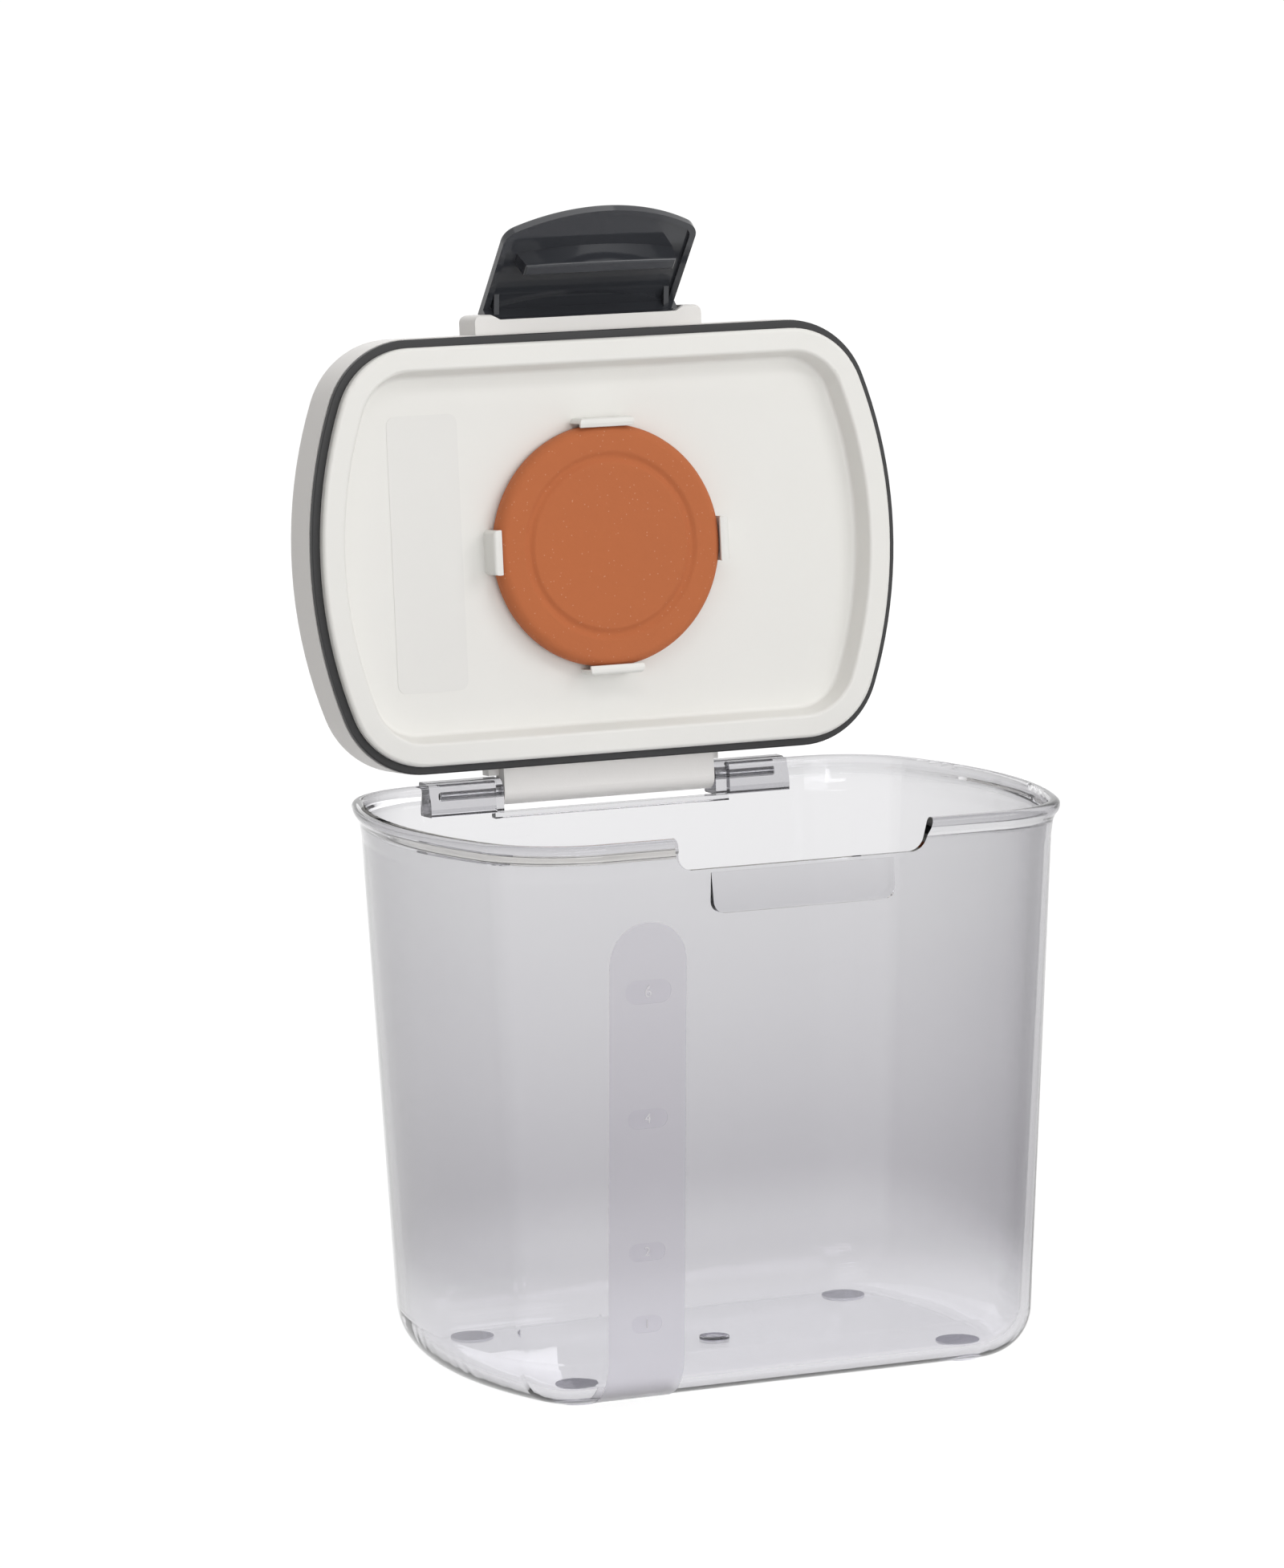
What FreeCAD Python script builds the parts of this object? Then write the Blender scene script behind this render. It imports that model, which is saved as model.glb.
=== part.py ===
import FreeCAD, Part
import math
import os

from FreeCAD import Vector

# Hinged sugar container: clear tub, nested lid with seal, clay disc and latch flap.
# All lengths are in millimetres. X is the width, Y runs to the back, Z is up.
# Zero is the middle of the plane that the feet stand on.
# The lid and latch are drawn shut and then swung to the open rest pose.

# Plan outline of the tub wall at its underside; every ring follows it at an offset.
half_width = 76.0
half_depth = 50.0
end_radius = 111.6
corner_radius = 17.5

# Tub wall.
foot_stand = 0.6
body_height = 140.0
wall_draft = 7.3
floor_thickness = 3.0
wall_thickness = 2.6
base_radius = 12.6
inner_base_radius = 9.8
floor_core_inset = 14.0
rim_flare = 1.8
flare_height = 9.0
rim_thickness = 3.2
rim_radius = 1.3
rim_band = 2.3
rim_blend = 2.4
flare_radius = 4.0

# Front notch of the rim and the wedge under it that the latch catches on.
notch_half_top = 34.3
notch_half_floor = 32.4
notch_depth = 8.2
notch_radius = 4.1
wedge_below_notch = 0.9
wedge_half_width = 24.6
wedge_height = 10.0
wedge_rise = 1.9
wedge_radius = 3.0
wedge_edge = 0.4

# Rear hinge, and the cut-out of the rim with its shelf under the barrel.
hinge_behind = 11.2
hinge_below_rim = 3.6
lid_open_angle = 93.8
barrel_half_length = 29.3
barrel_radius = 3.4
barrel_end_gap = 0.3
web_top_rise = 1.8
stop_lug_width = 2.8
stop_gap = 0.3
stop_lug_height = 4.0
knuckle_length = 20.4
knuckle_radius = 3.6
knuckle_drop = 4.8
knuckle_edge = 0.7
pin_radius = 1.2
pin_in_knuckle = 17.1
pin_in_barrel = 12.6
pin_chamfer = 0.3
pin_end_gap = 0.5
running_clearance = 0.05
cutout_past_barrel = 3.3
cutout_radius = 1.2
shelf_reach = 2.4
shelf_thickness = 1.6
shelf_edge = 0.4

# Lid, measured up from the underside of the seal when shut.
seal_below_rim = 12.5
seal_thickness = 1.9
seal_offset = 4.75
seal_inner_offset = 1.1
seal_edge = 0.4
cover_offset = 4.9
cover_height = 16.9
cover_wall = 2.0
cover_plate = 2.2
cover_edge_radius = 3.2
cover_core_inset = 8.0
plug_offset = 2.7
plug_reach = 2.5
plug_edge = 1.0
recess_offset = -3.2
recess_floor_offset = -4.6
recess_floor_height = 3.8
recess_fillet = 1.2
liner_thickness = 2.0
liner_flange_height = 5.0
liner_core_inset = 9.0

# Clay disc and the four clips that hold it.
disc_radius = 30.9
disc_face_below_seal = 2.0
disc_edge = 2.6
disc_back_edge = 1.2
disc_rest_gap = 0.3
groove_radius = 22.5
groove_half_width = 1.5
groove_depth = 0.8
groove_round = 1.2
clip_play = 0.35
clip_thickness = 1.4
clip_overlap = 1.0
clip_under = 0.4
clip_head = 0.9
clip_half_wide = 7.4
clip_half_narrow = 5.7
clip_edge = 0.3
clip_corner = 1.2

# Latch housing, flap and pin, measured forward from the tub's half depth and up from the seal.
latch_ahead = 7.2
latch_up = 9.9
latch_open_angle = 47.2
housing_half_width = 31.4
housing_lip_ahead = 8.5
housing_front_ahead = 9.9
housing_under = 5.9
housing_floor = 7.4
housing_top = 16.4
housing_radius = 1.0
housing_side_radius = 2.0
housing_slope = 2.5
slot_gap = 0.6
flap_side_gap = 0.3
housing_ear = 4.8
flap_face_ahead = 11.2
flap_thickness = 2.6
flap_dish = 0.9
flap_border = 1.7
flap_head = 1.6
flap_shoulder = 26.4
flap_length = 33.9
flap_corner = 5.0
flap_edge = 0.9
flap_knuckle = 1.9
flap_root_below = 1.6
flap_arch = 4.0
rib_root_inset = 5.0
rib_nose_inset = 6.0
rib_catch_gap = 0.3
rib_nose_gap = 0.4
rib_height = 3.4
rib_root_height = 2.9
rib_arch = 2.1
rib_bow = 0.1
rib_edge = 0.7
gusset_half = 0.7
gusset_inset = 3.0
gusset_drop = 4.6
latch_pin_radius = 0.9
latch_pin_cover = 1.8

# Feet.
foot_x = 51.8
foot_y = 33.2
foot_radius = 5.5
foot_seat = 0.8
foot_edge = 0.3

# Shares of a length, the length by which cutting tools run past a face,
# the depth by which joined blocks sink into each other, and the smallest length counted.
HALF_SHARE = 0.5
flare_mid_share = 0.5
flare_mid_out_share = 0.22
overrun = 2.0
sink = 0.2
touch = 1e-6

# Heights that follow from the values above.
rim_z = foot_stand + body_height
notch_z = rim_z - notch_depth
seal_z = rim_z - seal_below_rim
hinge_z = rim_z - hinge_below_rim
latch_z = seal_z + latch_up
wedge_top = notch_z - wedge_below_notch
wedge_foot = wedge_top - wedge_height

# Depths that follow the tub's depth, and widths that follow the housing's.
hinge_y = half_depth + hinge_behind
latch_forward = half_depth + latch_ahead
housing_lip = half_depth + housing_lip_ahead
housing_front = half_depth + housing_front_ahead
flap_face = half_depth + flap_face_ahead
flap_half_width = housing_half_width - housing_ear
rib_half_root = flap_half_width - rib_root_inset
rib_half_nose = flap_half_width - rib_nose_inset
gusset_at = flap_half_width - gusset_inset

# Lengths along the hinges, and the clips' place round the disc.
knuckle_start = barrel_half_length + barrel_end_gap
knuckle_end = knuckle_start + knuckle_length
stop_lug_end = barrel_half_length + stop_lug_width
pin_start = barrel_half_length - pin_in_barrel
pin_end = knuckle_start + pin_in_knuckle
cutout_half_width = barrel_half_length + cutout_past_barrel
slot_half_width = flap_half_width + flap_side_gap
slot_back = latch_forward - flap_knuckle - slot_gap
latch_pin_half = housing_half_width - latch_pin_cover
clip_inner = disc_radius + clip_play

X_AXIS = Vector(1, 0, 0)
Y_AXIS = Vector(0, 1, 0)
Z_AXIS = Vector(0, 0, 1)
ORIGIN = Vector(0, 0, 0)
QUARTER_TURN = 90.0
HALF_TURN = 180.0
FULL_TURN = 360.0


def rounded_wire(points, radii, place):
    """Closed wire through points; corners with a radius become arcs; place maps (a, b) to space."""
    count = len(points)
    starts = []
    ends = []
    mids = []
    for index in range(count):
        before = Vector(*points[index - 1], 0)
        here = Vector(*points[index], 0)
        after = Vector(*points[(index + 1) % count], 0)
        radius = radii.get(index, 0)
        if not radius:
            starts.append(here)
            ends.append(here)
            mids.append(None)
            continue
        to_before = (before - here).normalize()
        to_after = (after - here).normalize()
        half_angle = to_before.getAngle(to_after) * HALF_SHARE
        reach = radius / math.tan(half_angle)
        middle = (to_before + to_after).normalize()
        centre = here + middle * (radius / math.sin(half_angle))
        starts.append(here + to_before * reach)
        ends.append(here + to_after * reach)
        mids.append(centre - middle * radius)
    edges = []
    for index in range(count):
        following = (index + 1) % count
        if mids[index] is not None:
            arc = Part.Arc(place(starts[index]), place(mids[index]), place(ends[index]))
            edges.append(arc.toShape())
        if (starts[following] - ends[index]).Length > touch:
            edges.append(Part.makeLine(place(ends[index]), place(starts[following])))
    return Part.Wire(edges)


def flat_face(points, radii, place):
    return Part.Face(rounded_wire(points, radii, place))


def drawn_out(face, path):
    """Face drawn out along a vector, turned right side out."""
    solid = face.extrude(path)
    if solid.Volume < 0:
        solid.reverse()
    return solid


def turned(face, centre, angle):
    """Face turned about an upright axis, right side out."""
    solid = face.revolve(centre, Z_AXIS, angle)
    if solid.Volume < 0:
        solid.reverse()
    return solid


def fused(shapes):
    whole = shapes[0]
    if len(shapes) > 1:
        whole = shapes[0].fuse(shapes[1:])
    return whole.removeSplitter()


def outline_corner():
    """Centre of the rear right corner arc and the half angle of the bowed end."""
    bow_x = half_width - end_radius
    flat_y = half_depth - corner_radius
    reach = end_radius - corner_radius
    corner_x = bow_x + math.sqrt(reach * reach - flat_y * flat_y)
    half_angle = math.degrees(math.asin(flat_y / reach))
    return bow_x, corner_x, flat_y, half_angle


def outline_wire(offset, z):
    """Plan outline at an offset from the wall outline, at height z."""
    bow_x, corner_x, flat_y, half_angle = outline_corner()
    bow = end_radius + offset
    curve = corner_radius + offset
    edges = []
    for turn in (0, HALF_TURN):
        spin = FreeCAD.Rotation(Z_AXIS, turn)
        bow_mid = spin.multVec(Vector(bow_x, 0, z))
        low = spin.multVec(Vector(corner_x, -flat_y, z))
        high = spin.multVec(Vector(corner_x, flat_y, z))
        far = spin.multVec(Vector(-corner_x, flat_y + curve, z))
        near = spin.multVec(Vector(corner_x, flat_y + curve, z))
        edges.append(Part.makeCircle(curve, low, Z_AXIS, turn - QUARTER_TURN, turn - half_angle))
        edges.append(Part.makeCircle(bow, bow_mid, Z_AXIS, turn - half_angle, turn + half_angle))
        edges.append(Part.makeCircle(curve, high, Z_AXIS, turn + half_angle, turn + QUARTER_TURN))
        edges.append(Part.makeLine(near, far))
    return Part.Wire(Part.__sortEdges__(edges))


def outline_plate(offset, low, high):
    return drawn_out(Part.Face(outline_wire(offset, low)), Z_AXIS * (high - low))


def ring(points, radii):
    """Solid of a section (offset, height) carried once round the plan outline."""
    bow_x, corner_x, flat_y, half_angle = outline_corner()
    face = flat_face(points, radii, lambda p: Vector(p.x, 0, p.y))
    pieces = []
    for turn in (0, HALF_TURN):
        spin = FreeCAD.Rotation(Z_AXIS, turn)
        arcs = [
            (Vector(corner_x, -flat_y, 0), corner_radius, -QUARTER_TURN, QUARTER_TURN - half_angle),
            (Vector(bow_x, 0, 0), end_radius, -half_angle, half_angle + half_angle),
            (Vector(corner_x, flat_y, 0), corner_radius, half_angle, QUARTER_TURN - half_angle),
        ]
        for centre, radius, start, sweep in arcs:
            section = face.copy()
            section.translate(X_AXIS * radius)
            section.rotate(ORIGIN, Z_AXIS, start + turn)
            section.translate(spin.multVec(centre))
            pieces.append(turned(section, spin.multVec(centre), sweep))
        section = face.copy()
        section.translate(X_AXIS * corner_radius)
        section.rotate(ORIGIN, Z_AXIS, QUARTER_TURN + turn)
        section.translate(spin.multVec(Vector(corner_x, flat_y, 0)))
        pieces.append(drawn_out(section, spin.multVec(X_AXIS * (-corner_x - corner_x))))
    return fused(pieces)


def block(x_low, x_high, y_low, y_high, z_low, z_high):
    size = (x_high - x_low, y_high - y_low, z_high - z_low)
    return Part.makeBox(*size, Vector(x_low, y_low, z_low))


def rod(radius, x_low, x_high, y, z):
    return Part.makeCylinder(radius, x_high - x_low, Vector(x_low, y, z), X_AXIS)


def side_section(points, radii, x_low, x_high):
    """Solid of a section (y, z) drawn out from x_low to x_high."""
    face = flat_face(points, radii, lambda p: Vector(x_low, p.x, p.y))
    return drawn_out(face, X_AXIS * (x_high - x_low))


def wall_offset(height):
    """Offset of the tub's outer wall at a height above its underside."""
    return wall_draft * height / body_height


def make_container():
    top = wall_offset(body_height)
    flare_low = body_height - flare_height
    flare_mid = flare_low + flare_height * flare_mid_share
    flare_mid_out = wall_offset(flare_mid) + rim_flare * flare_mid_out_share
    inner_foot = wall_offset(floor_thickness) - wall_thickness
    section = [
        (-floor_core_inset, 0),
        (0, 0),
        (wall_offset(flare_low), flare_low),
        (flare_mid_out, flare_mid),
        (top + rim_flare, body_height - rim_band),
        (top + rim_flare, body_height),
        (top + rim_flare - rim_thickness, body_height),
        (inner_foot, floor_thickness),
        (-floor_core_inset, floor_thickness),
    ]
    radii = {
        1: base_radius,
        2: flare_height,
        3: flare_radius,
        4: rim_blend,
        5: rim_radius,
        6: rim_radius,
        7: inner_base_radius,
    }
    shell = ring(section, radii)
    plate = outline_plate(-floor_core_inset, 0, floor_thickness)
    body = fused([shell, plate])
    body.translate(Z_AXIS * foot_stand)
    knuckles = [make_knuckle(knuckle_start, knuckle_end), make_knuckle(-knuckle_end, -knuckle_start)]
    body = body.cut([make_rear_cutout(), make_front_notch()])
    body = fused([body, make_rear_shelf(), make_catch_wedge()] + knuckles)
    bores = [
        rod(pin_radius, knuckle_start - overrun, pin_end, hinge_y, hinge_z),
        rod(pin_radius, -pin_end, -knuckle_start + overrun, hinge_y, hinge_z),
    ]
    seats = []
    for x in (-foot_x, foot_x):
        for y in (-foot_y, foot_y):
            seats.append(Part.makeCylinder(foot_radius, foot_seat, Vector(x, y, foot_stand)))
    return body.cut(bores + seats)


def make_knuckle(x_low, x_high):
    """Clear hinge knuckle: round at the upper front, square at the upper back as the lid stop."""
    outer = rod(knuckle_radius, x_low, x_high, hinge_y, hinge_z)
    back = hinge_y + knuckle_radius
    front = hinge_y - knuckle_radius
    low = hinge_z - knuckle_drop
    top = hinge_z + knuckle_radius
    corner = side_section(
        [(hinge_y, top), (back, top), (back, low), (front, low), (front, hinge_z), (hinge_y, hinge_z)],
        {1: knuckle_edge, 2: knuckle_edge},
        x_low,
        x_high,
    )
    inner_low = x_low
    inner_high = x_high
    if x_low > 0:
        inner_low = cutout_half_width
    else:
        inner_high = -cutout_half_width
    rim_inner = half_depth + wall_draft + rim_flare - rim_thickness
    bridge = block(inner_low, inner_high, rim_inner + rim_radius, hinge_y, low, rim_z - rim_radius)
    return fused([outer, corner, bridge])


def make_rear_cutout():
    y_low = half_depth - wall_thickness
    depth = hinge_y + knuckle_radius + overrun - y_low
    face = flat_face(
        [
            (-cutout_half_width, notch_z),
            (cutout_half_width, notch_z),
            (cutout_half_width, rim_z + overrun),
            (-cutout_half_width, rim_z + overrun),
        ],
        {0: cutout_radius, 1: cutout_radius},
        lambda p: Vector(p.x, y_low, p.y),
    )
    return drawn_out(face, Y_AXIS * depth)


def make_front_notch():
    slope = (notch_half_top - notch_half_floor) / notch_depth
    wide = notch_half_top + slope * overrun
    y_low = -half_depth - wall_draft - rim_flare - overrun
    face = flat_face(
        [
            (-notch_half_floor, notch_z),
            (notch_half_floor, notch_z),
            (wide, rim_z + overrun),
            (-wide, rim_z + overrun),
        ],
        {0: notch_radius, 1: notch_radius},
        lambda p: Vector(p.x, y_low, p.y),
    )
    return drawn_out(face, Y_AXIS * (-half_depth + wall_thickness - y_low))


def make_rear_shelf():
    """Ledge on the rear wall along the floor of the cut-out, under the lid's barrel."""
    face = half_depth + wall_offset(notch_z - foot_stand)
    low = notch_z - shelf_thickness
    return side_section(
        [(face - sink, low), (face - sink, notch_z), (face + shelf_reach, notch_z), (face + shelf_reach, low)],
        {2: shelf_edge, 3: shelf_edge},
        -cutout_half_width,
        cutout_half_width,
    )


def make_catch_wedge():
    """Ramp on the front wall, flush under the notch and raised at its foot, where the latch catches."""
    face_top = -half_depth - wall_offset(wedge_top - foot_stand)
    face_foot = -half_depth - wall_offset(wedge_foot - foot_stand)
    ramp = side_section(
        [
            (face_top + sink, wedge_top),
            (face_foot + sink, wedge_foot),
            (face_foot - wedge_rise, wedge_foot),
            (face_top - sink, wedge_top),
        ],
        {2: wedge_edge},
        -wedge_half_width,
        wedge_half_width,
    )
    rims = []
    back = (wedge_half_width, face_foot + sink)
    front = (wedge_half_width - wedge_edge, face_foot - wedge_rise)
    for half, y in (back, front):
        rims.append(
            rounded_wire(
                [(-half, wedge_foot), (half, wedge_foot), (half, wedge_top), (-half, wedge_top)],
                {0: wedge_radius, 1: wedge_radius},
                lambda p: Vector(p.x, y, p.y),
            )
        )
    back_rim = rims[0].copy()
    back_rim.translate(Y_AXIS * (face_foot - face_top))
    return ramp.common(Part.makeLoft([back_rim, rims[1]], True, True))


def make_foot(x, y):
    pad = Part.makeCylinder(foot_radius, foot_stand + foot_seat, Vector(x, y, 0))
    low = [edge for edge in pad.Edges if edge.BoundBox.ZMax < foot_edge]
    return pad.makeFillet(foot_edge, low)


def make_hinge_pin(x_low, x_high):
    pin = rod(pin_radius, x_low, x_high, hinge_y, hinge_z)
    ends = [edge for edge in pin.Edges if edge.BoundBox.XLength < touch + touch]
    return pin.makeChamfer(pin_chamfer, ends)


def make_lid_cover():
    inner = cover_offset - cover_wall
    plate_low = cover_height - cover_plate
    section = [
        (cover_offset, seal_thickness),
        (cover_offset, cover_height),
        (-cover_core_inset, cover_height),
        (-cover_core_inset, plate_low),
        (inner, plate_low),
        (inner, seal_thickness),
    ]
    shell = ring(section, {1: cover_edge_radius, 4: cover_wall})
    plate = outline_plate(-cover_core_inset, plate_low, cover_height)
    lid = fused([shell, plate])
    lid.translate(Z_AXIS * seal_z)
    lid = fused([lid, make_barrel(), make_latch_housing()])
    slot = block(
        -slot_half_width,
        slot_half_width,
        -housing_front - overrun,
        -slot_back,
        seal_z + housing_floor,
        seal_z + cover_height + overrun,
    )
    bore = pin_radius + running_clearance
    bores = [
        rod(bore, pin_start - pin_end_gap, barrel_half_length + overrun, hinge_y, hinge_z),
        rod(bore, -barrel_half_length - overrun, pin_end_gap - pin_start, hinge_y, hinge_z),
        rod(latch_pin_radius, -latch_pin_half, latch_pin_half, -latch_forward, latch_z),
    ]
    return lid.cut([slot] + bores)


def make_barrel():
    """Lid half of the hinge: barrel, its web to the rear wall and the two stop lugs."""
    rear = half_depth + cover_offset
    root = rear - cover_wall
    barrel = rod(barrel_radius, -barrel_half_length, barrel_half_length, hinge_y, hinge_z)
    web = block(
        -barrel_half_length,
        barrel_half_length,
        root,
        hinge_y,
        hinge_z - barrel_radius,
        hinge_z + web_top_rise,
    )
    swing = math.radians(lid_open_angle)
    reach = knuckle_radius * (math.sin(swing) - math.cos(swing)) + stop_gap
    lugs = []
    for x_low in (barrel_half_length, -stop_lug_end):
        x_high = x_low + stop_lug_end - barrel_half_length
        lugs.append(
            block(x_low, x_high, root, hinge_y - reach, hinge_z, hinge_z + stop_lug_height)
        )
    return fused([barrel, web] + lugs)


def make_latch_housing():
    """Front of the lid round the latch: an ear at each side and a lower lip between them."""
    under = seal_z + housing_under
    top = seal_z + housing_top
    wall = half_depth + cover_offset - cover_wall
    rise = Z_AXIS * (top - under)
    mass = side_section(
        [(-housing_front, under), (-wall, under), (-wall, top), (-housing_front, top)],
        {0: housing_radius, 3: housing_radius},
        -housing_half_width,
        housing_half_width,
    )
    lip_half = slot_half_width - housing_slope
    plan = flat_face(
        [
            (-housing_half_width, -housing_front),
            (-slot_half_width, -housing_front),
            (-lip_half, -housing_lip),
            (lip_half, -housing_lip),
            (slot_half_width, -housing_front),
            (housing_half_width, -housing_front),
            (housing_half_width, -wall),
            (-housing_half_width, -wall),
        ],
        {
            0: housing_side_radius,
            1: housing_radius,
            2: housing_radius,
            3: housing_radius,
            4: housing_radius,
            5: housing_side_radius,
        },
        lambda p: Vector(p.x, p.y, under),
    )
    return mass.common(drawn_out(plan, rise))


def make_lid_liner():
    floor = recess_floor_height
    back = floor + liner_thickness
    inner = cover_offset - cover_wall
    section = [
        (plug_offset, -plug_reach),
        (plug_offset, 0),
        (seal_inner_offset, 0),
        (seal_inner_offset, seal_thickness),
        (inner, seal_thickness),
        (inner, liner_flange_height),
        (seal_inner_offset, back),
        (-liner_core_inset, back),
        (-liner_core_inset, floor),
        (recess_floor_offset, floor),
        (recess_offset, -plug_reach),
    ]
    shell = ring(section, {0: plug_edge, 9: recess_fillet, 10: plug_edge})
    plate = outline_plate(-liner_core_inset, floor, back)
    liner = fused([shell, plate])
    clips = [
        make_clip(clip_half_narrow, 0),
        make_clip(clip_half_wide, QUARTER_TURN),
        make_clip(clip_half_narrow, HALF_TURN),
        make_clip(clip_half_wide, HALF_TURN + QUARTER_TURN),
    ]
    liner = fused([liner] + clips)
    liner.translate(Z_AXIS * seal_z)
    return liner


def make_clip(half, turn):
    """Upright clip that hooks over the edge of the disc; drawn hanging from the recess floor."""
    root = recess_floor_height + clip_edge
    tip = -disc_face_below_seal + clip_edge - clip_under
    head = tip - clip_head
    inside = clip_inner - clip_overlap
    outside = clip_inner + clip_thickness
    face = flat_face(
        [
            (clip_inner, root),
            (clip_inner, tip),
            (inside, tip),
            (inside, head + clip_edge),
            (clip_inner, head),
            (outside, head),
            (outside, root),
        ],
        {3: clip_edge, 4: clip_edge, 5: clip_head},
        lambda p: Vector(p.x, -half, p.y),
    )
    plan = flat_face(
        [(inside, -half), (outside, -half), (outside, half), (inside, half)],
        {0: clip_edge, 1: clip_corner, 2: clip_corner, 3: clip_edge},
        lambda p: Vector(p.x, p.y, head),
    )
    clip = drawn_out(face, Y_AXIS * (half + half)).common(drawn_out(plan, Z_AXIS * (root - head)))
    clip.rotate(ORIGIN, Z_AXIS, turn)
    return clip


def make_lid_gasket():
    section = [
        (seal_inner_offset, 0),
        (seal_offset, 0),
        (seal_offset, seal_thickness),
        (seal_inner_offset, seal_thickness),
    ]
    gasket = ring(section, {1: seal_edge, 2: seal_edge})
    gasket.translate(Z_AXIS * seal_z)
    return gasket


def make_disc():
    face_z = seal_z - disc_face_below_seal
    back_z = seal_z + recess_floor_height - disc_rest_gap
    in_low = groove_radius - groove_half_width
    out_low = groove_radius + groove_half_width
    points = [
        (0, face_z),
        (in_low, face_z),
        (groove_radius, face_z + groove_depth),
        (out_low, face_z),
        (disc_radius, face_z),
        (disc_radius, back_z),
        (0, back_z),
    ]
    radii = {1: groove_round, 2: groove_round, 3: groove_round, 4: disc_edge, 5: disc_back_edge}
    face = flat_face(points, radii, lambda p: Vector(p.x, 0, p.y))
    return turned(face, ORIGIN, FULL_TURN)


def make_latch_flap():
    """Dished flap with its pivot knuckle, the catch rib and two gussets, drawn hanging shut."""
    front = -flap_face
    blank = make_flap_outline(0, front - flap_thickness, front)
    outer = [edge for edge in blank.Edges if edge.BoundBox.YMax < front - flap_dish - flap_dish]
    blank = blank.makeFillet(flap_edge, outer)
    dish = make_flap_outline(flap_border, front - flap_dish, front + overrun)
    panel = blank.cut(dish.common(make_dish_limit(front)))
    knuckle = rod(flap_knuckle, -flap_half_width, flap_half_width, -latch_forward, latch_z)
    root = block(
        -flap_half_width,
        flap_half_width,
        front - flap_dish,
        -latch_forward,
        latch_z - flap_root_below,
        latch_z + flap_head - sink,
    )
    gussets = []
    for x in (-gusset_at, gusset_at):
        gussets.append(
            side_section(
                [
                    (front - flap_dish - sink, latch_z),
                    (-latch_forward - flap_knuckle, latch_z),
                    (-latch_forward - flap_knuckle, latch_z - flap_root_below),
                    (front - flap_dish - sink, latch_z - flap_root_below - gusset_drop),
                ],
                {},
                x - gusset_half,
                x + gusset_half,
            )
        )
    flap = fused([panel, knuckle, root, make_rib()])
    bore = rod(
        latch_pin_radius + running_clearance,
        -flap_half_width - overrun,
        flap_half_width + overrun,
        -latch_forward,
        latch_z,
    )
    return fused([flap] + gussets).cut(bore)


def make_dish_limit(front):
    """Room that the dish may take: it ends at an arch below the flap's root."""
    half = flap_half_width - flap_border
    root_z = latch_z - flap_root_below
    arch_radius = (half * half + flap_arch * flap_arch) / (flap_arch + flap_arch)
    low = front - flap_dish - overrun
    depth = flap_dish + overrun + overrun
    limit = block(-half, half, low, low + depth, latch_z - flap_length, root_z)
    arch_mid = Vector(0, low, root_z - flap_arch + arch_radius)
    return limit.cut(Part.makeCylinder(arch_radius, depth, arch_mid, Y_AXIS))


def make_flap_outline(inset, y_low, y_high):
    """Flap plan between two depths: straight sides, rounded corners and a bowed free edge."""
    side = flap_half_width - inset
    top = latch_z + flap_head
    tip = latch_z - flap_length + inset
    rise = flap_length - flap_shoulder
    bow = (flap_half_width * flap_half_width + rise * rise) / (rise + rise)
    box = block(-side, side, y_low, y_high, latch_z - flap_length, top)
    bow_disc = Part.makeCylinder(
        bow - inset, y_high - y_low, Vector(0, y_low, tip + bow - inset), Y_AXIS
    )
    plan = box.common(bow_disc)
    corners = []
    for edge in plan.Edges:
        box_e = edge.BoundBox
        along_y = box_e.YLength > y_high - y_low - sink and box_e.XLength < sink
        if along_y and box_e.ZMax < latch_z - gusset_drop:
            corners.append(edge)
    return plan.makeFillet(flap_corner - inset, corners)


def make_rib():
    """Catch rib: straight nose that hooks under the wedge's foot, spreading to an arched root."""
    catch_z = wedge_foot - rib_catch_gap
    nose_y = -half_depth - wall_offset(catch_z - foot_stand) - rib_nose_gap
    root_y = -flap_face - flap_dish - sink
    root = make_rib_wire(root_y, rib_half_root, catch_z, rib_root_height, rib_arch)
    nose = make_rib_wire(nose_y, rib_half_nose, catch_z, rib_height, rib_bow)
    rib = Part.makeLoft([root, nose], True, True)
    tip = [edge for edge in rib.Edges if edge.BoundBox.YMin > nose_y - sink]
    return rib.makeFillet(rib_edge, tip)


def make_rib_wire(y, half, near, height, bow):
    """Rib outline at a depth: straight near side and ends, bowed far side."""
    near_left = Vector(-half, y, near)
    near_right = Vector(half, y, near)
    far_left = Vector(-half, y, near - height)
    far_right = Vector(half, y, near - height)
    far_mid = Vector(0, y, near - height - bow)
    edges = [
        Part.makeLine(near_left, near_right),
        Part.makeLine(near_right, far_right),
        Part.Arc(far_right, far_mid, far_left).toShape(),
        Part.makeLine(far_left, near_left),
    ]
    return Part.Wire(edges)


def make_latch_pin():
    return rod(latch_pin_radius, -latch_pin_half, latch_pin_half, -latch_forward, latch_z)


def swing_latch(shape):
    shape.rotate(Vector(0, -latch_forward, latch_z), X_AXIS, -latch_open_angle)
    return shape


def swing_lid(shape):
    shape.rotate(Vector(0, hinge_y, hinge_z), X_AXIS, -lid_open_angle)
    return shape


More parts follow.
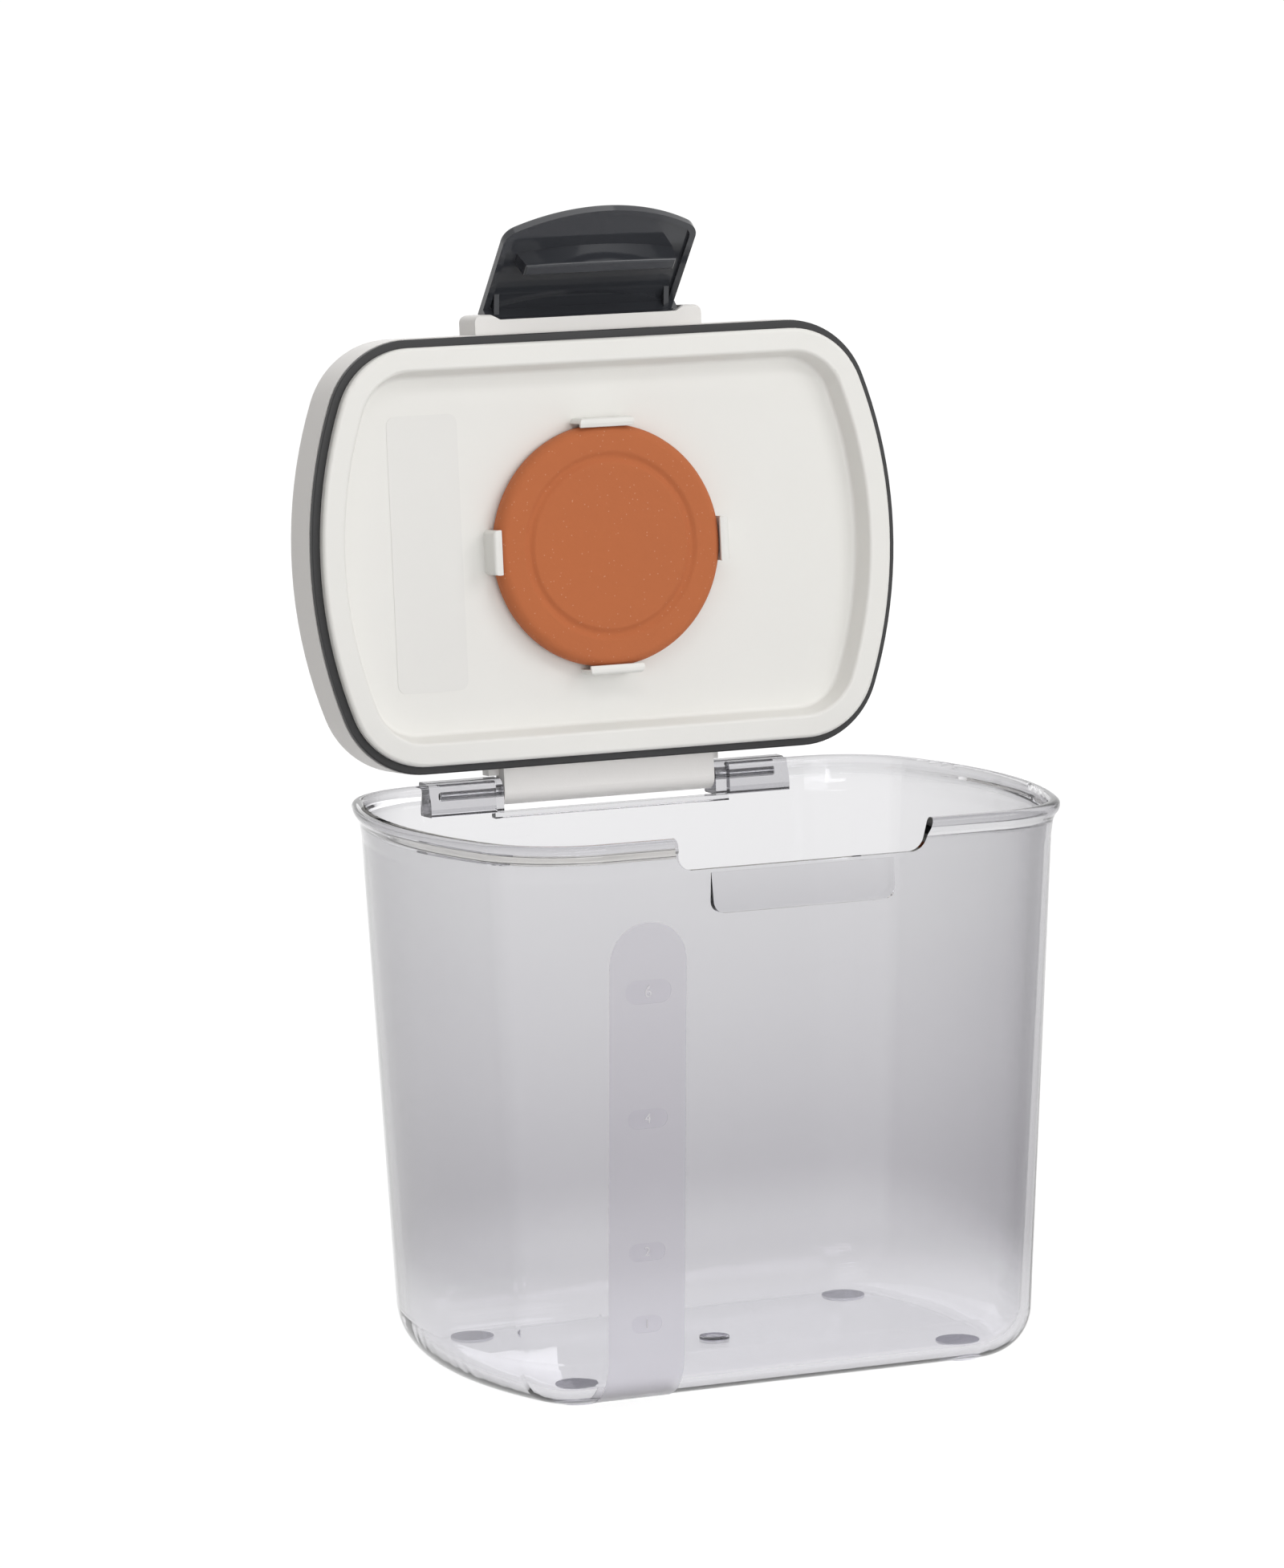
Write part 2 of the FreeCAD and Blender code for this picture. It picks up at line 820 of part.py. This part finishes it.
def main():
    os.makedirs("parts", exist_ok=True)
    parts = {
        "container": make_container(),
        "foot_front_left": make_foot(-foot_x, -foot_y),
        "foot_front_right": make_foot(foot_x, -foot_y),
        "foot_rear_left": make_foot(-foot_x, foot_y),
        "foot_rear_right": make_foot(foot_x, foot_y),
        "hinge_pin_left": make_hinge_pin(-pin_end, -pin_start),
        "hinge_pin_right": make_hinge_pin(pin_start, pin_end),
        "lid_cover": swing_lid(make_lid_cover()),
        "lid_liner": swing_lid(make_lid_liner()),
        "lid_gasket": swing_lid(make_lid_gasket()),
        "terracotta_disc": swing_lid(make_disc()),
        "latch_flap": swing_lid(swing_latch(make_latch_flap())),
        "latch_pin": swing_lid(make_latch_pin()),
    }
    for name, shape in parts.items():
        shape.exportStep("parts/" + name + ".step")


main()
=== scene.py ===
import math
from collections import namedtuple

import bpy
from mathutils import Matrix, Vector


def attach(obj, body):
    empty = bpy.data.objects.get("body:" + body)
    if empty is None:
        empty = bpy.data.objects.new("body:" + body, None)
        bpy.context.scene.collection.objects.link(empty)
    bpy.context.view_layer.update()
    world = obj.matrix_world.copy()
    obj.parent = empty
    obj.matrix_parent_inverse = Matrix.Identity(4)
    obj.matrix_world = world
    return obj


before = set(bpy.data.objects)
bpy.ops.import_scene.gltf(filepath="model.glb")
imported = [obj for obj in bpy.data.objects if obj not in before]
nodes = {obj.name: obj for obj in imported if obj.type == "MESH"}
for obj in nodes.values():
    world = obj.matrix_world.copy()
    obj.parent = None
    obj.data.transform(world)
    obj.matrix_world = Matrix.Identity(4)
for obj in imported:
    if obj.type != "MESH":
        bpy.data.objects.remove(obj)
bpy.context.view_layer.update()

scene = bpy.context.scene
scene.view_settings.view_transform = "Standard"

MM = 0.001
TUB_HEIGHT = 140 * MM
UPRIGHT = math.radians(90)
SMOOTH_ANGLE = math.radians(30)
WHITE = (1, 1, 1, 1)


# Camera, set where the photograph was taken from.

view_azimuth = math.radians(-23.98)
view_elevation = math.radians(8.22)
view_roll = math.radians(-1.0)
aim_right, aim_up, aim_ahead = 0.01788, -0.1372, 1.8416
aim_lift = 0.0006

turn = (
    Matrix.Rotation(view_azimuth, 3, "Z")
    @ Matrix.Rotation(math.radians(90) - view_elevation, 3, "X")
    @ Matrix.Rotation(view_roll, 3, "Z")
)
right, up, back = turn.col
place = back * aim_ahead - right * aim_right - up * aim_up + Vector((0, 0, aim_lift))
bpy.ops.object.select_all(action="DESELECT")
bpy.ops.object.camera_add(location=place, rotation=turn.to_euler())
camera = bpy.context.object
camera.name = "photo_camera"
camera.data.sensor_width = 36
camera.data.lens = 168.3
camera.data.shift_y = 0.0127
camera.data.clip_start = 0.05
camera.data.clip_end = 100
scene.camera = camera


# Node helpers.

def fresh(name):
    """New material with an empty node tree."""
    material = bpy.data.materials.new(name)
    material.use_nodes = True
    material.node_tree.nodes.clear()
    return material, material.node_tree.nodes, material.node_tree.links.new


def add(tree, kind, **values):
    """New node with its settings or sockets set."""
    made = tree.new("ShaderNode" + kind)
    for key, value in values.items():
        if hasattr(made, key):
            setattr(made, key, value)
        else:
            made.inputs[key.replace("_", " ")].default_value = value
    return made


def map_range(tree, source, target):
    """Node that maps one range of values onto another and holds at its ends."""
    return add(
        tree,
        "MapRange",
        From_Min=source[0],
        From_Max=source[1],
        To_Min=target[0],
        To_Max=target[1],
    )


def seen_directly(tree, link):
    """1 for what the camera sees straight, by reflection or through clear plastic."""
    path = add(tree, "LightPath")
    first = add(tree, "Math", operation="MAXIMUM")
    both = add(tree, "Math", operation="MAXIMUM")
    link(path.outputs["Is Camera Ray"], first.inputs[0])
    link(path.outputs["Is Glossy Ray"], first.inputs[1])
    link(first.outputs[0], both.inputs[0])
    link(path.outputs["Is Transmission Ray"], both.inputs[1])
    return both.outputs[0]


# Studio: soft lamps, a white surround and a white floor that keeps the shadow.

SURROUND_LIGHT = (0.36, 0.35, 0.342, 1)
FLOOR_SPAN = 80
FLOOR_DROP = 0.05 * MM  # so that its face isn't in the feet's faces
FLOOR_PLAIN = (0.8, 0.8, 0.8, 1)
FLOOR_SHADE = (0.14, 0.14, 0.14, 1)
GLOW_REACH = (0.15, 0.9)
GLOW_STRENGTH = (0.93, 1.0)


def soft_lamp(name, at, aim, size, watts):
    """Rectangular lamp, turned towards a point of the container."""
    toward = (Vector(aim) - Vector(at)).to_track_quat("-Z", "Y")
    bpy.ops.object.light_add(type="AREA", location=at, rotation=toward.to_euler())
    lamp = bpy.context.object
    lamp.name = name
    lamp.data.shape = "RECTANGLE"
    lamp.data.size, lamp.data.size_y = size
    lamp.data.energy = watts


def white_surround():
    """World that lights the container softly and is white where it is seen."""
    world = bpy.data.worlds.new("studio_world")
    scene.world = world
    world.use_nodes = True
    tree, link = world.node_tree.nodes, world.node_tree.links.new
    tree.clear()
    out = add(tree, "OutputWorld")
    mix = add(tree, "MixShader")
    light = add(tree, "Background", Color=SURROUND_LIGHT)
    white = add(tree, "Background", Color=WHITE)
    link(seen_directly(tree, link), mix.inputs["Fac"])
    link(light.outputs[0], mix.inputs[1])
    link(white.outputs[0], mix.inputs[2])
    link(mix.outputs[0], out.inputs["Surface"])


def make_floor_white():
    """White where it is seen, a little less near the container, and it keeps the shadow."""
    material, tree, link = fresh("floor_white")
    out = add(tree, "OutputMaterial")
    mix = add(tree, "MixShader")
    plain = add(tree, "BsdfDiffuse", Color=FLOOR_PLAIN)
    glow = add(tree, "Emission", Color=WHITE)
    shade = add(tree, "BsdfDiffuse", Color=FLOOR_SHADE)
    both = add(tree, "AddShader")
    where = add(tree, "TexCoord")
    reach = add(tree, "VectorMath", operation="LENGTH")
    fade = map_range(tree, GLOW_REACH, GLOW_STRENGTH)
    link(where.outputs["Object"], reach.inputs[0])
    link(reach.outputs["Value"], fade.inputs["Value"])
    link(fade.outputs[0], glow.inputs["Strength"])
    link(glow.outputs[0], both.inputs[0])
    link(shade.outputs[0], both.inputs[1])
    link(seen_directly(tree, link), mix.inputs["Fac"])
    link(plain.outputs[0], mix.inputs[1])
    link(both.outputs[0], mix.inputs[2])
    link(mix.outputs[0], out.inputs["Surface"])
    return material


soft_lamp("key_lamp", at=(1.0, -1.2, 1.0), aim=(0, 0, 0.12), size=(0.8, 1.0), watts=7.4)
soft_lamp("front_lamp", at=(0.15, -1.7, 0.42), aim=(0, 0, 0.17), size=(0.9, 0.6), watts=6.2)
soft_lamp("top_lamp", at=(0, 0.1, 1.5), aim=(0, 0, 0), size=(1.2, 1.2), watts=4)
soft_lamp("back_lamp", at=(0.2, 1.7, 0.9), aim=(0, 0, 0.15), size=(1.0, 1.0), watts=3)
soft_lamp(
    "edge_lamp_high", at=(-0.3, -0.85, 1.2), aim=(0, 0.05, 0.22), size=(0.9, 0.08), watts=2.0
)
soft_lamp("edge_lamp_low", at=(-0.5, -1.4, 0.16), aim=(0, 0, 0.2), size=(0.7, 0.06), watts=1.3)
white_surround()

bpy.ops.object.select_all(action="DESELECT")
bpy.ops.mesh.primitive_plane_add(size=FLOOR_SPAN, location=(0, 0, -FLOOR_DROP))
floor = bpy.context.object
floor.name = "studio_floor"
floor.data.materials.append(make_floor_white())


# Finishes. Tones are low and high, grain is a noise scale, and depth is in mm.

SLOW_SCALE = 18
SLOW_RANGE = (0.25, 0.75)
GRAIN_STRENGTH = 0.25
PLASTIC_INDEX = 1.49
FROSTED_INDEX = 1.2

# Clear plastic. The wall's painted shade and light are by share of the tub's height: near white
# at the foot, darkest a quarter of the way up, lighter again to the rim.
TINT_COLOUR, TINT_DENSITY = (0.62, 0.615, 0.64, 1), 115
REFLECTION_TINT = (0.55, 0.55, 0.57, 1)
SHADOW_TINT = (0.92, 0.92, 0.93, 1)
PAINTED_WALL_SHADES = (
    (0.03, (0.99, 0.99, 1.0, 1)),
    (0.12, (0.93, 0.93, 0.94, 1)),
    (0.27, (0.745, 0.74, 0.755, 1)),
    (0.6, (0.815, 0.812, 0.822, 1)),
    (0.86, (0.845, 0.845, 0.85, 1)),
    (1.0, (0.85, 0.85, 0.855, 1)),
)
SLANT_RANGE, SLANT_SHARE = (0.18, 0.85), (0, 0.9)
SLANT_TONE = (0.3, 0.295, 0.31, 1)
ABOVE_FLOOR = (0.006, 0.03)

# Fired clay: pale specks.
SPECK_SCALE = 650
SPECK_REACH, SPECK_SHARE = (0.15, 0.06), (0, 0.3)
SPECK_TONE = (0.78, 0.5, 0.33, 1)

Finish = namedtuple("Finish", "material shader tree link tone out")


def moulded(name, tones, rough, grain, depth):
    """Slow change of tone and roughness, and a fine grain in the bump."""
    material, tree, link = fresh(name)
    out = add(tree, "OutputMaterial")
    shader = add(tree, "BsdfPrincipled")
    where = add(tree, "TexCoord")
    slow = add(tree, "TexNoise", Scale=SLOW_SCALE, Detail=3, Roughness=0.5)
    fine = add(tree, "TexNoise", Scale=grain, Detail=4, Roughness=0.6)
    low, high = tones
    tone = add(tree, "Mix", data_type="RGBA", A=(*low, 1), B=(*high, 1))
    gloss = map_range(tree, SLOW_RANGE, rough)
    bump = add(tree, "Bump", Strength=GRAIN_STRENGTH, Distance=depth * MM)
    link(where.outputs["Object"], slow.inputs["Vector"])
    link(where.outputs["Object"], fine.inputs["Vector"])
    link(slow.outputs["Fac"], tone.inputs["Factor"])
    link(slow.outputs["Fac"], gloss.inputs["Value"])
    link(fine.outputs["Fac"], bump.inputs["Height"])
    link(tone.outputs["Result"], shader.inputs["Base Color"])
    link(gloss.outputs[0], shader.inputs["Roughness"])
    link(bump.outputs[0], shader.inputs["Normal"])
    link(shader.outputs[0], out.inputs["Surface"])
    return Finish(material, shader, tree, link, tone, out)


def let_light_through(finish, index):
    """Make a finish clear, with its refractive index."""
    finish.shader.inputs["Transmission Weight"].default_value = 1
    finish.shader.inputs["IOR"].default_value = index


def make_clear_plastic():
    """Tinted clear plastic with painted shade by height, that lets lamp light reach the inside.
    """
    finish = moulded(
        "clear_plastic",
        tones=((0.97, 0.968, 0.975), (1.0, 0.998, 1.0)),
        rough=(0.0, 0.02),
        grain=30,
        depth=0.02,
    )
    tree, link, shader = finish.tree, finish.link, finish.shader
    let_light_through(finish, PLASTIC_INDEX)
    shader.inputs["Specular Tint"].default_value = REFLECTION_TINT
    tint = add(tree, "VolumeAbsorption", Color=TINT_COLOUR, Density=TINT_DENSITY)
    link(tint.outputs[0], finish.out.inputs["Volume"])

    # Painted shade and light by height, multiplied into the tone.
    where = add(tree, "TexCoord")
    axes = add(tree, "SeparateXYZ")
    height = map_range(tree, (0, TUB_HEIGHT), (0, 1))
    painted_shade_ramp = add(tree, "ValToRGB")
    ramp = painted_shade_ramp.color_ramp
    ramp.interpolation = "EASE"
    lowest, *between, highest = PAINTED_WALL_SHADES
    for stop, (position, colour) in zip(ramp.elements, (lowest, highest)):
        stop.position = position
        stop.color = colour
    for position, colour in between:
        ramp.elements.new(position).color = colour
    wall_with_painted_shade = add(tree, "Mix", data_type="RGBA", blend_type="MULTIPLY", Factor=1)
    link(where.outputs["Object"], axes.inputs[0])
    link(axes.outputs["Z"], height.inputs["Value"])
    link(height.outputs[0], painted_shade_ramp.inputs["Fac"])
    link(finish.tone.outputs["Result"], wall_with_painted_shade.inputs["A"])
    link(painted_shade_ramp.outputs["Color"], wall_with_painted_shade.inputs["B"])

    # Darker where the wall slants away, but not near the floor.
    slant = add(tree, "LayerWeight", Blend=0.5)
    edge_share = map_range(tree, SLANT_RANGE, SLANT_SHARE)
    edge_mix = add(tree, "Mix", data_type="RGBA", B=SLANT_TONE)
    above_floor = map_range(tree, ABOVE_FLOOR, (0, 1))
    edge_on_wall = add(tree, "Math", operation="MULTIPLY")
    link(slant.outputs["Facing"], edge_share.inputs["Value"])
    link(axes.outputs["Z"], above_floor.inputs["Value"])
    link(edge_share.outputs[0], edge_on_wall.inputs[0])
    link(above_floor.outputs[0], edge_on_wall.inputs[1])
    link(edge_on_wall.outputs[0], edge_mix.inputs["Factor"])
    link(wall_with_painted_shade.outputs["Result"], edge_mix.inputs["A"])
    link(edge_mix.outputs["Result"], shader.inputs["Base Color"])

    # Lamp light passes on shadow rays.
    rays = add(tree, "LightPath")
    passing = add(tree, "BsdfTransparent", Color=SHADOW_TINT)
    lit_through = add(tree, "MixShader")
    link(rays.outputs["Is Shadow Ray"], lit_through.inputs["Fac"])
    link(shader.outputs[0], lit_through.inputs[1])
    link(passing.outputs[0], lit_through.inputs[2])
    link(lit_through.outputs[0], finish.out.inputs["Surface"])
    return finish.material


def make_fired_clay():
    """Fired clay with fine pale specks."""
    finish = moulded(
        "fired_clay",
        tones=((0.465, 0.132, 0.044), (0.535, 0.158, 0.055)),
        rough=(0.82, 0.92),
        grain=1600,
        depth=0.4,
    )
    tree, link = finish.tree, finish.link
    where = add(tree, "TexCoord")
    grit = add(tree, "TexVoronoi", Scale=SPECK_SCALE)
    pale = map_range(tree, SPECK_REACH, SPECK_SHARE)
    specked = add(tree, "Mix", data_type="RGBA", B=SPECK_TONE)
    link(where.outputs["Object"], grit.inputs["Vector"])
    link(grit.outputs["Distance"], pale.inputs["Value"])
    link(pale.outputs[0], specked.inputs["Factor"])
    link(finish.tone.outputs["Result"], specked.inputs["A"])
    link(specked.outputs["Result"], finish.shader.inputs["Base Color"])
    return finish.material


def make_clear(name, index, **look):
    """Clear finish of a small piece, with its refractive index."""
    finish = moulded(name, **look)
    let_light_through(finish, index)
    return finish.material


def make_bright_steel():
    """Drawn steel of the pins."""
    finish = moulded(
        "bright_steel",
        tones=((0.5, 0.5, 0.52), (0.62, 0.62, 0.64)),
        rough=(0.16, 0.3),
        grain=900,
        depth=0.03,
    )
    finish.shader.inputs["Metallic"].default_value = 1
    return finish.material


clear_plastic = make_clear_plastic()
pad_soft = moulded(
    "pad_soft",
    tones=((0.92, 0.91, 0.97), (0.95, 0.94, 1.0)),
    rough=(0.3, 0.42),
    grain=400,
    depth=0.1,
).material
gate_clear = make_clear(
    "gate_clear",
    PLASTIC_INDEX,
    tones=((0.36, 0.35, 0.4), (0.44, 0.43, 0.48)),
    rough=(0.05, 0.12),
    grain=400,
    depth=0.05,
)
white_satin = moulded(
    "white_satin",
    tones=((0.79, 0.785, 0.755), (0.83, 0.825, 0.795)),
    rough=(0.36, 0.46),
    grain=2200,
    depth=0.06,
).material
# Lid cover: the liner's white made a little darker, painted shade for the cover's shaded sides.
white_painted_shade = moulded(
    "white_painted_shade",
    tones=((0.775, 0.762, 0.742), (0.815, 0.802, 0.782)),
    rough=(0.4, 0.5),
    grain=2200,
    depth=0.06,
).material
seal_rubber = moulded(
    "seal_rubber",
    tones=((0.012, 0.012, 0.013), (0.02, 0.02, 0.021)),
    rough=(0.5, 0.62),
    grain=3000,
    depth=0.05,
).material
charcoal_gloss = moulded(
    "charcoal_gloss",
    tones=((0.032, 0.034, 0.04), (0.04, 0.043, 0.05)),
    rough=(0.06, 0.1),
    grain=2600,
    depth=0.01,
).material
fired_clay = make_fired_clay()
bright_steel = make_bright_steel()
frosted_strip = make_clear(
    "frosted_strip",
    FROSTED_INDEX,
    tones=((0.93, 0.92, 0.945), (0.96, 0.95, 0.97)),
    rough=(0.34, 0.4),
    grain=1800,
    depth=0.05,
)
window_clear = make_clear(
    "window_clear",
    FROSTED_INDEX,
    tones=((0.95, 0.945, 0.96), (0.98, 0.975, 0.99)),
    rough=(0.2, 0.26),
    grain=900,
    depth=0.03,
)
numeral_pale = moulded(
    "numeral_pale",
    tones=((0.56, 0.55, 0.58), (0.62, 0.61, 0.64)),
    rough=(0.6, 0.7),
    grain=1500,
    depth=0.05,
).material
panel_smooth = moulded(
    "panel_smooth",
    tones=((0.77, 0.765, 0.74), (0.79, 0.785, 0.76)),
    rough=(0.34, 0.37),
    grain=1200,
    depth=0.03,
).material


def dress(piece, material):
    """Give a piece one finish all over."""
    piece.data.materials.clear()
    piece.data.materials.append(material)


for node, finish_of_node in {
    "container": clear_plastic,
    "foot_front_left": pad_soft,
    "foot_front_right": pad_soft,
    "foot_rear_left": pad_soft,
    "foot_rear_right": pad_soft,
    "lid_cover": white_painted_shade,
    "lid_liner": white_satin,
    "lid_gasket": seal_rubber,
    "terracotta_disc": fired_clay,
    "latch_flap": charcoal_gloss,
    "hinge_pin_left": bright_steel,
    "hinge_pin_right": bright_steel,
    "latch_pin": bright_steel,
}.items():
    dress(nodes[node], finish_of_node)


# Modelling helpers.

def pick(piece, wanted):
    """Select the vertices that a test names, in edit mode."""
    bpy.ops.object.mode_set(mode="OBJECT")
    for part in (piece.data.polygons, piece.data.edges):
        for item in part:
            item.select = False
    for vertex in piece.data.vertices:
        vertex.select = wanted(vertex.co)
    bpy.ops.object.mode_set(mode="EDIT")
    bpy.ops.mesh.select_mode(type="VERT")


def every_corner(_):
    """Test for pick that takes every vertex."""
    return True


def round_corners(piece, wanted, radius, segments):
    """Round those corners of a sheet that a test names."""
    pick(piece, wanted)
    bpy.ops.mesh.bevel(offset=radius, segments=segments, affect="VERTICES")


def new_sheet(name, middle, half_wide, half_high, lean):
    """Upright rectangle that faces the front, leaning as the face behind it does."""
    bpy.ops.object.select_all(action="DESELECT")
    turned = (UPRIGHT + lean, 0, 0)
    bpy.ops.mesh.primitive_plane_add(size=2 * half_wide, location=middle, rotation=turned)
    piece = bpy.context.object
    piece.name = name
    bpy.ops.object.transform_apply(location=True, rotation=True, scale=True)
    along = Vector((0, -math.sin(lean), math.cos(lean))) * (half_high - half_wide)
    pick(piece, lambda co: co.z > middle.z)
    bpy.ops.transform.translate(value=along)
    pick(piece, lambda co: co.z < middle.z)
    bpy.ops.transform.translate(value=-along)
    bpy.ops.object.mode_set(mode="OBJECT")
    return piece


def thicken(piece, thickness):
    """Give a sheet its thickness, outwards."""
    bpy.ops.object.mode_set(mode="OBJECT")
    wall = piece.modifiers.new("wall", "SOLIDIFY")
    wall.thickness = thickness
    wall.offset = 1
    bpy.ops.object.modifier_apply(modifier=wall.name)
    bpy.ops.object.shade_smooth_by_angle(angle=SMOOTH_ANGLE)


def keep(piece, body, material):
    """Finish a new piece and give it its body."""
    dress(piece, material)
    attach(piece, body)


# Level strip on the front wall: frosted band with four windows and plain numerals.

WALL_FLARE = 7.3 * MM
WALL_FOOT_AHEAD, WALL_FOOT_HEIGHT = 50.0 * MM, 0.6 * MM
STRIP_ACROSS, STRIP_HALF = -40.9 * MM, 10.1 * MM
STRIP_FOOT, STRIP_TOP = 12.54 * MM, 120.6 * MM
STRIP_LIFT, STRIP_THICKNESS = 0.05 * MM, 0.12 * MM
STRIP_ROUND = 0.97
BASE_BEND = math.radians(82)
BASE_BEND_CENTRE = (0, -38.04 * MM, 13.2 * MM)
WINDOW_LIFT, WINDOW_THICKNESS = 0.2 * MM, 0.1 * MM
WINDOW_ROUND = 0.96
NUMERAL_LIFT, NUMERAL_RELIEF = 0.36 * MM, 0.03 * MM
NUMERAL_SHARE = 1.5

# Cups, height of the window's middle, half its width and half its height, in mm.
LEVELS = (
    ("6", 103.7, 6.0, 2.9),
    ("4", 72.4, 5.2, 2.4),
    ("2", 39.4, 4.8, 2.2),
    ("1", 21.4, 4.0, 2.1),
)

wall_lean = math.atan(WALL_FLARE / TUB_HEIGHT)
wall_out = Vector((0, -math.cos(wall_lean), -math.sin(wall_lean)))


def on_wall(x, z, lift):
    """Point of the front wall, lifted off its face."""
    ahead = WALL_FOOT_AHEAD + (z - WALL_FOOT_HEIGHT) * WALL_FLARE / TUB_HEIGHT
    return Vector((x, -ahead, z)) + wall_out * lift


def make_level_strip():
    """Band with a round top that follows the wall down and bends in round the base."""
    middle_height = (STRIP_FOOT + STRIP_TOP) / 2
    strip = new_sheet(
        "level_strip",
        on_wall(STRIP_ACROSS, middle_height, STRIP_LIFT),
        STRIP_HALF,
        (STRIP_TOP - STRIP_FOOT) / 2 / math.cos(wall_lean),
        wall_lean,
    )
    round_corners(strip, lambda co: co.z > middle_height, STRIP_HALF * STRIP_ROUND, segments=12)
    pick(strip, lambda co: co.z < middle_height)
    bpy.ops.mesh.spin(steps=8, angle=-BASE_BEND, center=BASE_BEND_CENTRE, axis=(1, 0, 0))
    thicken(strip, STRIP_THICKNESS)
    keep(strip, "container", frosted_strip)


def make_level_window(cups, height, half_wide, half_high):
    """Smooth window with round ends."""
    window = new_sheet(
        "level_window_" + cups,
        on_wall(STRIP_ACROSS, height * MM, WINDOW_LIFT),
        half_wide * MM,
        half_high * MM,
        wall_lean,
    )
    round_corners(window, every_corner, half_high * WINDOW_ROUND * MM, segments=7)
    thicken(window, WINDOW_THICKNESS)
    keep(window, "container", window_clear)


def make_level_numeral(cups, height, half_high):
    """Plain raised numeral in the middle of its window."""
    bpy.ops.object.select_all(action="DESELECT")
    bpy.ops.object.text_add()
    numeral = bpy.context.object
    numeral.name = "level_numeral_" + cups
    numeral.data.body = cups
    numeral.data.align_x = "CENTER"
    numeral.data.align_y = "CENTER"
    numeral.data.size = half_high * NUMERAL_SHARE * MM
    numeral.data.extrude = NUMERAL_RELIEF
    bpy.ops.object.convert(target="MESH")
    numeral = bpy.context.object
    numeral.location = on_wall(STRIP_ACROSS, height * MM, NUMERAL_LIFT)
    numeral.rotation_euler = (UPRIGHT + wall_lean, 0, 0)
    bpy.ops.object.transform_apply(location=True, rotation=True, scale=True)
    keep(numeral, "container", numeral_pale)


make_level_strip()
for cups, height, half_wide, half_high in LEVELS:
    make_level_window(cups, height, half_wide, half_high)
    make_level_numeral(cups, height, half_high)


# Moulding gate in the middle of the tub's floor: a low boss with a ring groove in its top.

GATE_RADIUS, GATE_DEPTH = 3.8 * MM, 0.6 * MM
GATE_HEIGHT = 3.95 * MM
GATE_LAND, GATE_GROOVE_WIDTH = 0.8 * MM, 1.2 * MM
GATE_GROOVE_DEPTH = 0.4 * MM


def make_gate_mark():
    """Boss whose top is inset and sunk, then inset again and raised."""
    bpy.ops.object.select_all(action="DESELECT")
    bpy.ops.mesh.primitive_cylinder_add(
        vertices=40, radius=GATE_RADIUS, depth=GATE_DEPTH, location=(0, 0, GATE_HEIGHT)
    )
    gate_mark = bpy.context.object
    gate_mark.name = "gate_mark"
    bpy.ops.object.transform_apply(location=True, rotation=True, scale=True)
    pick(gate_mark, lambda co: co.z > GATE_HEIGHT)
    bpy.ops.mesh.select_mode(type="FACE")
    bpy.ops.mesh.inset(thickness=GATE_LAND)
    bpy.ops.transform.translate(value=(0, 0, -GATE_GROOVE_DEPTH))
    bpy.ops.mesh.inset(thickness=GATE_GROOVE_WIDTH)
    bpy.ops.transform.translate(value=(0, 0, GATE_GROOVE_DEPTH))
    bpy.ops.object.mode_set(mode="OBJECT")
    bpy.ops.object.shade_smooth_by_angle(angle=SMOOTH_ANGLE)
    keep(gate_mark, "container", gate_clear)


make_gate_mark()


# Bare smooth panel on the floor of the lid's recess.

PANEL_MIDDLE = Vector((-48.2 * MM, 60.21 * MM, 199.0 * MM))
PANEL_HALF_WIDE, PANEL_HALF_HIGH = 9.6 * MM, 35.0 * MM
PANEL_CORNER = 2.4 * MM
PANEL_LIFT, PANEL_THICKNESS = 0.02 * MM, 0.1 * MM
PANEL_LEAN = -math.radians(3.8)
RECESS_OUT = Vector((0, -0.9978, 0.0663))


def make_recess_panel():
    """Flat panel with small round corners, leaning as the open lid does."""
    panel = new_sheet(
        "recess_panel",
        PANEL_MIDDLE + RECESS_OUT * PANEL_LIFT,
        PANEL_HALF_WIDE,
        PANEL_HALF_HIGH,
        PANEL_LEAN,
    )
    round_corners(panel, every_corner, PANEL_CORNER, segments=5)
    thicken(panel, PANEL_THICKNESS)
    keep(panel, "lid", panel_smooth)


make_recess_panel()
